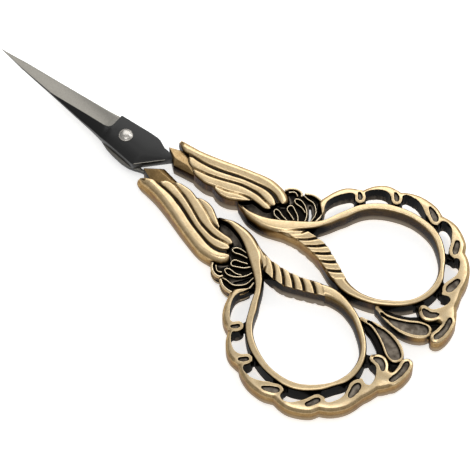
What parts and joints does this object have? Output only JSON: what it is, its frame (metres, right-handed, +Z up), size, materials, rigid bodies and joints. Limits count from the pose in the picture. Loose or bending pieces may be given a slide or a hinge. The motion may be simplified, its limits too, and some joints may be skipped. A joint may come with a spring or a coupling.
{
  "type": "embroidery scissors",
  "caption": "Small sewing scissors with slim pointed blades on a rivet and cast, pierced ornamental bows shaped as wings, flowers and a lace border.",
  "frame": {"origin": "middle of the closed scissors' box, on the surface that they lie on", "axes": "+X from the blade points towards the bows, +Y towards the upper half's bow, +Z up, along the rivet"},
  "size_m": [0.1262, 0.0618, 0.0066],
  "materials": {
    "blackened_steel": "satin black, with the bevels and inner faces ground bright",
    "antique_brass": "antique brass plating on a zinc casting, worn bright on the high places and nearly black in the recesses",
    "bright_steel": "bare steel, polished"
  },
  "bodies": {
    "lower_half": {"lower_blade": "blackened_steel", "lower_handle": "antique_brass", "pivot_rivet": "bright_steel"},
    "upper_half": {"upper_blade": "blackened_steel", "upper_handle": "antique_brass"}
  },
  "joints": [
    {"name": "pivot", "type": "hinge", "parent": "lower_half", "child": "upper_half", "pos_m": [-0.02505, 0, 0.0033], "axis": [0, 0, 1], "range_deg": [0, 90]}
  ]
}
